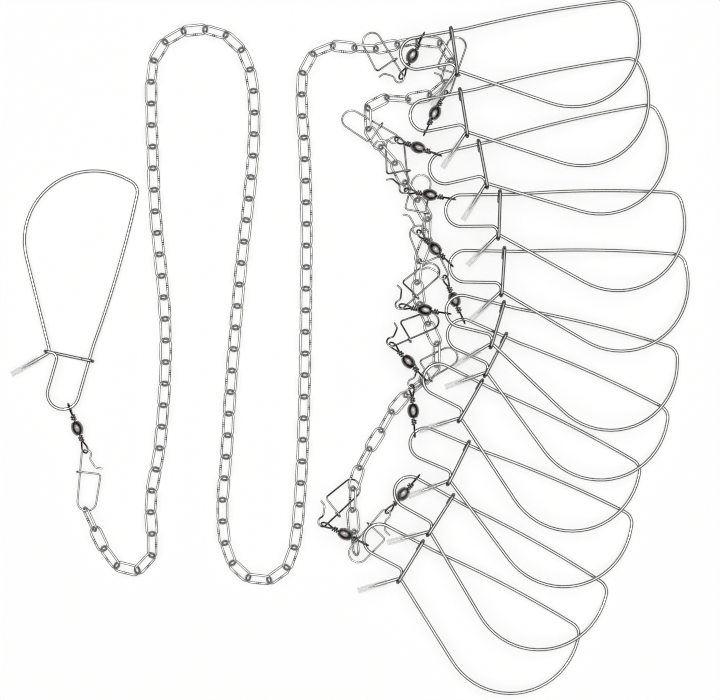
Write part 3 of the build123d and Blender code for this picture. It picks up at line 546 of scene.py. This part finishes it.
# one welded link on every point, turned to the point's own directions
def linkTree():
    tree, given, result = newTree("weldedLinks", [
        ("Link length", "NodeSocketFloat"), ("Link width", "NodeSocketFloat"), ("Link wire", "NodeSocketFloat"),
        ("Steps", "NodeSocketInt"), ("Sides", "NodeSocketInt"), ("Weld half", "NodeSocketFloat"),
        ("Weld rise", "NodeSocketFloat"), ("Finish", "NodeSocketMaterial")])
    long = addNode(tree, "ShaderNodeMath", {0: given["Link length"], 1: given["Link wire"]}, operation="SUBTRACT")
    wide = addNode(tree, "ShaderNodeMath", {0: given["Link width"], 1: given["Link wire"]}, operation="SUBTRACT")
    bend = addNode(tree, "ShaderNodeMath", {0: wide.outputs[0], 1: chainLink["nearHalf"]}, operation="MULTIPLY")
    oblong = addNode(tree, "GeometryNodeCurvePrimitiveQuadrilateral", {
        "Width": long.outputs[0], "Height": wide.outputs[0]})
    loop = addNode(tree, "GeometryNodeFilletCurve", {
        "Curve": oblong.outputs[0], "Radius": bend.outputs[0], "Count": chainLink["bendSteps"]}, mode="POLY")
    even = addNode(tree, "GeometryNodeResampleCurve", {"Curve": loop.outputs[0], "Count": given["Steps"]})
    place = addNode(tree, "GeometryNodeInputPosition")
    parts = addNode(tree, "ShaderNodeSeparateXYZ", {0: place.outputs[0]})
    near = addNode(tree, "ShaderNodeMath", {0: parts.outputs["X"]}, operation="ABSOLUTE")
    fade = addNode(tree, "ShaderNodeMapRange", {
        "Value": near.outputs[0], 1: 0.0, 2: given["Weld half"], 3: 1.0, 4: 0.0}, interpolation_type="SMOOTHSTEP")
    side = addNode(tree, "ShaderNodeMath", {0: parts.outputs["Y"], 1: 0.0}, operation="LESS_THAN")
    seam = addNode(tree, "ShaderNodeMath", {0: fade.outputs[0], 1: side.outputs[0]}, operation="MULTIPLY")
    welded = addNode(tree, "GeometryNodeStoreNamedAttribute", {
        "Geometry": even.outputs[0], "Name": "weld", "Value": seam.outputs[0]}, domain="POINT")
    inMm = addNode(tree, "ShaderNodeMath", {0: parts.outputs["X"], 1: 1 / mm}, operation="MULTIPLY")
    marked = addNode(tree, "GeometryNodeStoreNamedAttribute", {
        "Geometry": welded.outputs[0], "Name": "seam", "Value": inMm.outputs[0]}, domain="POINT")
    half = addNode(tree, "ShaderNodeMath", {0: given["Link wire"], 1: 0.5}, operation="MULTIPLY")
    ring = addNode(tree, "GeometryNodeCurvePrimitiveCircle", {
        "Resolution": given["Sides"], "Radius": half.outputs[0]})
    body = addNode(tree, "GeometryNodeCurveToMesh", {
        "Curve": marked.outputs[0], "Profile Curve": ring.outputs[0]})
    rotation = addNode(tree, "FunctionNodeAxesToRotation", {
        "Primary Axis": addNode(tree, "GeometryNodeInputNamedAttribute", {"Name": "face"},
                                data_type="FLOAT_VECTOR").outputs["Attribute"],
        "Secondary Axis": addNode(tree, "GeometryNodeInputNamedAttribute", {"Name": "heading"},
                                  data_type="FLOAT_VECTOR").outputs["Attribute"]},
        primary_axis="Z", secondary_axis="X")
    points = addNode(tree, "GeometryNodeMeshToPoints", {"Mesh": given["Geometry"]})
    many = addNode(tree, "GeometryNodeInstanceOnPoints", {
        "Points": points.outputs[0], "Instance": body.outputs[0], "Rotation": rotation.outputs[0]})
    real = addNode(tree, "GeometryNodeRealizeInstances", {"Geometry": many.outputs[0]})
    lumps = addNode(tree, "ShaderNodeTexNoise", {"Scale": 1000.0 / chainLink["lump"], "Detail": 2.0})
    mask = addNode(tree, "GeometryNodeInputNamedAttribute", {"Name": "weld"})
    rise = addNode(tree, "ShaderNodeMath", {0: mask.outputs["Attribute"], 1: given["Weld rise"]},
                   operation="MULTIPLY")
    proud = addNode(tree, "ShaderNodeMath", {0: lumps.outputs["Fac"], 1: 0.5}, operation="SUBTRACT")
    lumpRise = addNode(tree, "ShaderNodeMath", {0: proud.outputs[0], 1: rise.outputs[0]}, operation="MULTIPLY")
    outward = addNode(tree, "ShaderNodeVectorMath", {
        0: addNode(tree, "GeometryNodeInputNormal").outputs[0], "Scale": lumpRise.outputs[0]}, operation="SCALE")
    lumpy = addNode(tree, "GeometryNodeSetPosition", {
        "Geometry": real.outputs[0], "Offset": outward.outputs[0]})
    smooth = addNode(tree, "GeometryNodeSetShadeSmooth", {"Geometry": lumpy.outputs[0]})
    finished = addNode(tree, "GeometryNodeSetMaterial", {
        "Geometry": smooth.outputs[0], "Material": given["Finish"]})
    tree.links.new(finished.outputs[0], result.inputs[0])
    return tree


sweptWire, weldedLinks = wireTree(), linkTree()


# runs a tree on a mesh of points and keeps the plain mesh
def runTree(name, mesh, tree, values):
    source = bpy.data.objects.new(name + ".source", mesh)
    bpy.context.scene.collection.objects.link(source)
    modifier = source.modifiers.new("make", "NODES")
    modifier.node_group = tree
    for socket in tree.interface.items_tree:
        if socket.in_out == "INPUT" and socket.name in values:
            modifier[socket.identifier] = values[socket.name]
    ready = source.evaluated_get(bpy.context.evaluated_depsgraph_get())
    made = bpy.data.meshes.new_from_object(ready)
    made.materials.clear()
    made.materials.append(values["Finish"])
    made.polygons.foreach_set("material_index", [0] * len(made.polygons))
    source.modifiers.remove(modifier)
    bpy.data.objects.remove(source)
    bpy.data.meshes.remove(mesh)
    return made


def addPiece(name, mesh, body, nodes):
    mesh.name = name
    piece = bpy.data.objects.new(name, mesh)
    bpy.context.scene.collection.objects.link(piece)
    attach(piece, body)
    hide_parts(*nodes)


# a path is a list of rows: point, thickness, share of the brushed bar finish (on the swivel coils, the share
# of the rubbed plate and painted highlight)
def wirePiece(name, paths, wire, sides, finish, body, nodes):
    points, edges = [], []
    for path in paths:
        edges += [(len(points) + i, len(points) + i + 1) for i in range(len(path) - 1)]
        points += path
    mesh = bpy.data.meshes.new(name + ".path")
    mesh.from_pydata([point * mm for point, _, _ in points], edges, [])
    thick = mesh.attributes.new("thick", "FLOAT", "POINT")
    bar = mesh.attributes.new("bar", "FLOAT", "POINT")
    thick.data.foreach_set("value", [row[1] for row in points])
    bar.data.foreach_set("value", [row[2] for row in points])
    made = runTree(name, mesh, sweptWire, {"Wire diameter": wire * mm, "Sides": sides, "Finish": finish})
    addPiece(name, made, body, nodes)


# rows of a cut and tumbled end: distance from the tip in wires, thickness
tumbledEnd = ((0.45, 1.0), (0.2, 0.93), (0.07, 0.74), (0.015, 0.5), (0.0, 0.2))


# a plain path, with a tumbled end where asked
def path(points, place, wire, bar=None, roundStart=False, roundEnd=True):
    rows = [[place @ point, 1.0, bar[i] if bar else 0.0] for i, point in enumerate(points)]
    for wanted, flip in ((roundStart, -1), (roundEnd, 1)):
        if wanted:
            rows = rows[::flip]
            tip, share = rows[-1][0], rows[-1][2]
            back = (rows[-2][0] - tip).normalized() * wire
            rows[-1:] = [[tip + back * step, size, share] for step, size in tumbledEnd]
            rows = rows[::flip]
    return rows


# Chain

def chainPiece(name, rows, body, node):
    mesh = bpy.data.meshes.new(name + ".points")
    mesh.from_pydata([middle * mm for middle, _, _ in rows], [], [])
    for label, column in (("heading", 1), ("face", 2)):
        values = mesh.attributes.new(label, "FLOAT_VECTOR", "POINT")
        values.data.foreach_set("vector", [c for row in rows for c in row[column]])
    made = runTree(name, mesh, weldedLinks, {
        "Link length": chainLink["length"] * mm, "Link width": chainLink["width"] * mm,
        "Link wire": chainLink["wire"] * mm, "Steps": chainLink["steps"], "Sides": chainLink["sides"],
        "Weld half": chainLink["weldHalf"] * mm, "Weld rise": chainLink["weldRise"] * mm, "Finish": linkFinish})
    addPiece(name, made, body, [node])


run = chainLink["perRun"]
chainPiece("chainRunLeft", links[:run], "chain_run_left", "chain_run_left")
chainPiece("chainRunMiddle", links[run:2 * run], "chain_run_middle", "chain_run_middle")
chainPiece("chainRunRight", links[2 * run:heapStart], "chain_run_right", "chain_run_right")
chainPiece("chainHeap", links[heapStart:], "heap", "chain_heap")
print("chain made")


# Swivels and snaps

# ring, wound neck and the shank that goes into the barrel
def eyePaths(place):
    eye = swivelEye
    reach = (eye["neck"] + eye["wrapWire"] / 2, eye["wire"] / 2)
    touch = math.atan2(reach[1], reach[0]) + math.acos(eye["radius"] / math.hypot(*reach))
    ring = [Vector((math.cos(turn), math.sin(turn), 0)) * eye["radius"]
            for turn in evenly(touch, 2 * math.pi - touch, eye["steps"])]
    ring = [Vector((*reach, 0))] + ring + [Vector((reach[0], -reach[1], 0))]
    wind = (eye["wrap"] - eye["wrapWire"]) / 2
    coil = []
    for i, x in enumerate(evenly(reach[0], neckEnd - eye["wrapWire"] / 2, round(eye["turns"] * eye["perTurn"]))):
        turn = 2 * math.pi * i / eye["perTurn"]
        coil.append(Vector((x, wind * math.cos(turn), wind * math.sin(turn))))
    core = [Vector((eye["neck"] + eye["coreIn"], 0, 0)), Vector((shankEnd, 0, 0))]
    # the coils take a lighter plate: rubbed wear, and a painted highlight that makes them read lit
    coilRows = [[point, size * eye["wrapWire"] / eye["wire"], eye["rubAndPaintedHighlight"]]
                for point, size, _ in path(coil, place, eye["wire"], roundStart=True)]
    return [path(ring, place, eye["wire"], roundEnd=False), coilRows, path(core, place, eye["wire"])]


# lathe: rows of place along the axis and radius, a closed section
def turnedMesh(name, section, around, place, finish):
    points, faces, count = [], [], len(section)
    for i in range(around):
        turn = 2 * math.pi * i / around
        points += [place @ Vector((x, r * math.cos(turn), r * math.sin(turn))) * mm for x, r in section]
    for i in range(around):
        here, beyond = i * count, (i + 1) % around * count
        faces += [(here + j, here + (j + 1) % count, beyond + (j + 1) % count, beyond + j) for j in range(count)]
    mesh = bpy.data.meshes.new(name)
    mesh.from_pydata(points, [], faces)
    mesh.shade_smooth()
    mesh.materials.append(finish)
    return mesh


# egg-shaped shell with flat ends, from the left hole over the outside and back through the inside
def barrelSection():
    half, belly, mouth = swivelBarrel["length"] / 2, swivelBarrel["diameter"] / 2, swivelBarrel["mouth"] / 2
    wall, edge, hole = swivelBarrel["wall"], swivelBarrel["edge"], swivelEye["wire"] / 2 + swivelEye["play"]
    bow = (half ** 2 + (belly - mouth) ** 2) / (2 * (belly - mouth))
    sink = belly - bow
    corner = sink + math.sqrt((bow - edge) ** 2 - (half - edge) ** 2)
    lean = math.atan2(corner - sink, edge - half)
    left = [(swivelBarrel["chamfer"] - half, hole), (-half, hole + swivelBarrel["chamfer"])]
    left += [(edge - half + edge * math.cos(turn), corner + edge * math.sin(turn))
             for turn in evenly(math.pi, lean, swivelBarrel["edgeSteps"])]
    outer = [(bow * math.cos(turn), sink + bow * math.sin(turn))
             for turn in evenly(lean, math.pi - lean, swivelBarrel["bellySteps"])[1:-1]]
    inside = [(x, sink + math.sqrt((bow - wall) ** 2 - x ** 2))
              for x in evenly(half - wall, wall - half, swivelBarrel["insideSteps"])]
    right = [(-x, r) for x, r in reversed(left)]
    section = left + outer + right + [(half - wall, hole)] + inside + [(wall - half, hole)]
    return section[::-1]


def barrelPiece(name, place, body, node):
    mesh = turnedMesh(name, barrelSection(), swivelBarrel["around"], place, barrelFinish)
    addPiece(name, mesh, body, [node])


def eyePiece(name, places, body, node):
    wirePiece(name, [rows for place in places for rows in eyePaths(place)], swivelEye["wire"], swivelEye["sides"],
              wrapFinish, body, [node])


def snapPiece(name, places, body, node):
    wirePiece(name, [path(snapPoints, place, chainSnap["wire"], roundStart=True) for place in places],
              chainSnap["wire"], chainSnap["sides"], snapFinish, body, [node])


eyePiece("heapClipEyes", [drop["clipEye"] for drop in drops], "heap", "heap_clip_eyes")
eyePiece("heapChainEyes", [drop["chainEye"] for drop in drops], "heap", "heap_chain_eyes")
snapPiece("heapSnaps", [drop["snap"] for drop in drops], "heap", "heap_snaps")
eyePiece("leftClipEye", [leftDrop["clipEye"]], "left_clip_eye", "left_clip_eye")
eyePiece("leftChainEye", [leftDrop["chainEye"]], "left_chain_eye", "left_chain_eye")
snapPiece("leftSnap", [leftDrop["snap"]], "left_snap", "left_snap")
barrelPiece("leftBarrel", leftDrop["barrel"], "left_barrel", "left_barrel")
for i, drop in enumerate(drops, 1):
    barrelPiece(f"barrel{i:02d}", drop["barrel"], f"clip_{i:02d}_barrel", f"clip_{i:02d}_barrel")
print("swivels and snaps made")


# Clips and sleeves

def sleeveSection():
    half, inner, outer = pointSleeve["length"] / 2, pointSleeve["bore"] / 2, pointSleeve["outer"] / 2
    edge, section = pointSleeve["edge"], []
    for x, r, first, last in ((-half + edge, outer - edge, 180, 90), (half - edge, outer - edge, 90, 0),
                              (half - edge, inner + edge, 0, -90), (-half + edge, inner + edge, 270, 180)):
        section += [(x + edge * math.cos(math.radians(turn)), r + edge * math.sin(math.radians(turn)))
                    for turn in evenly(first, last, pointSleeve["edgeSteps"])]
    return section[::-1]


def clipPieces(label, bodyName, place):
    wire = lockClip["wire"]
    framePoints = legPoints[::-1] + throatPoints[1:] + hookPoints
    plain = len(framePoints) - len(hookPoints)
    brushed = [0.0] * plain + [1.0] * len(hookPoints)
    wirePiece(label + "Frame", [path(framePoints, place, wire, brushed)], wire, lockClip["sides"], clipFinish,
              bodyName + "_frame", [bodyName + "_frame"])
    inner, outer = lockClip["rootThick"]
    root = [[place @ (split - splitHeading * lockClip["rootIn"]), inner, 0.0], [place @ split, outer, 0.0]]
    arm = root + path(armPoints, place, wire, roundEnd=False)
    for share in evenly(0, 1, lockClip["pointSteps"])[1:]:
        arm.append([place @ (pointBase + pinHeading * lockClip["point"] * share),
                    1 - share * (1 - 2 * lockClip["tip"] / wire), 0.0])
    wirePiece(label + "Arm", [arm], wire, lockClip["sides"], clipFinish, bodyName + "_arm",
              [bodyName + "_arm"])
    middle = pinPoint + pinHeading * (pointSleeve["past"] - pointSleeve["length"] / 2)
    mesh = turnedMesh(label + "Sleeve", sleeveSection(), pointSleeve["around"],
                      place @ placed(middle, pinHeading, up), sleeveFinish)
    addPiece(label + "Sleeve", mesh, bodyName + "_guard", [bodyName + "_guard"])


clipPieces("leftClip", "left_clip", leftDrop["clip"])
for i, drop in enumerate(drops, 1):
    clipPieces(f"clip{i:02d}", f"clip_{i:02d}", drop["clip"])
print("clips made")


# Floor, light and camera

studio = {"floor": "#ECECEB", "size": 6.0, "drop": 0.00005, "background": 0.72, "zenith": 2.3, "side": 0.02,
          "domeFrom": 0.7, "domeFull": 0.8, "lampPower": 7.0, "lampSize": 0.3, "lampPlace": (-0.06, 0.26, 2.1),
          "camera": 1.8, "across": 0.4608, "middle": (0.00642, -0.00212), "sensor": 36.0, "clipEnd": 20.0,
          "filterWidth": 1.1}

floorMesh = bpy.data.meshes.new("tableTop")
reach = studio["size"] / 2
floorMesh.from_pydata([(-reach, -reach, 0), (reach, -reach, 0), (reach, reach, 0), (-reach, reach, 0)], [],
                      [(0, 1, 2, 3)])
floor = bpy.data.objects.new("tableTop", floorMesh)
bpy.context.scene.collection.objects.link(floor)
floor.location.z = -studio["drop"]
sweepPaper, paperTree = newMaterial("whiteSweepPaper")   # matt white paper, lit evenly, soft shadows kept
matt = addNode(paperTree, "ShaderNodeBsdfDiffuse", {"Color": linear(studio["floor"])})
glow = addNode(paperTree, "ShaderNodeEmission", {"Color": (1, 1, 1, 1), "Strength": 1.0})
rays = addNode(paperTree, "ShaderNodeLightPath")
seen = addNode(paperTree, "ShaderNodeMath", {
    0: rays.outputs["Is Camera Ray"], 1: rays.outputs["Is Glossy Ray"]}, operation="MAXIMUM")
seen = addNode(paperTree, "ShaderNodeMath", {0: seen.outputs[0], 1: rays.outputs["Is Transmission Ray"]},
               operation="MAXIMUM")
share = addNode(paperTree, "ShaderNodeMath", {0: seen.outputs[0], 1: studio["background"]}, operation="MULTIPLY")
paper = addNode(paperTree, "ShaderNodeMixShader", {0: share.outputs[0], 1: matt.outputs[0], 2: glow.outputs[0]})
addNode(paperTree, "ShaderNodeOutputMaterial", {"Surface": paper.outputs[0]})
floorMesh.materials.append(sweepPaper)

world = bpy.data.worlds.new("softStudio")
bpy.context.scene.world = world
world.use_nodes = True
skyTree = world.node_tree
skyTree.nodes.clear()
direction = addNode(skyTree, "ShaderNodeTexCoord")
height = addNode(skyTree, "ShaderNodeSeparateXYZ", {0: direction.outputs["Generated"]})
dome = addNode(skyTree, "ShaderNodeMapRange", {
    "Value": height.outputs["Z"], 1: studio["domeFrom"], 2: studio["domeFull"], 3: studio["side"],
    4: studio["zenith"]}, interpolation_type="SMOOTHSTEP")
sky = addNode(skyTree, "ShaderNodeBackground", {"Color": (1, 1, 1, 1), "Strength": dome.outputs[0]})
addNode(skyTree, "ShaderNodeOutputWorld", {"Surface": sky.outputs[0]})

lamp = bpy.data.lights.new("softBox", "AREA")
lamp.shape, lamp.size, lamp.energy = "DISK", studio["lampSize"], studio["lampPower"]
softBox = bpy.data.objects.new("softBox", lamp)
bpy.context.scene.collection.objects.link(softBox)
softBox.location = studio["lampPlace"]
softBox.rotation_euler = (-Vector(studio["lampPlace"])).to_track_quat("-Z", "Y").to_euler()

camera = bpy.data.cameras.new("overhead")
camera.sensor_width = studio["sensor"]
camera.lens = studio["sensor"] * studio["camera"] / studio["across"]
camera.clip_end = studio["clipEnd"]
overhead = bpy.data.objects.new("overhead", camera)
bpy.context.scene.collection.objects.link(overhead)
overhead.location = (*studio["middle"], studio["camera"])
bpy.context.scene.camera = overhead
bpy.context.scene.view_settings.view_transform = "Standard"
bpy.context.scene.cycles.filter_width = studio["filterWidth"]
print("studio ready")
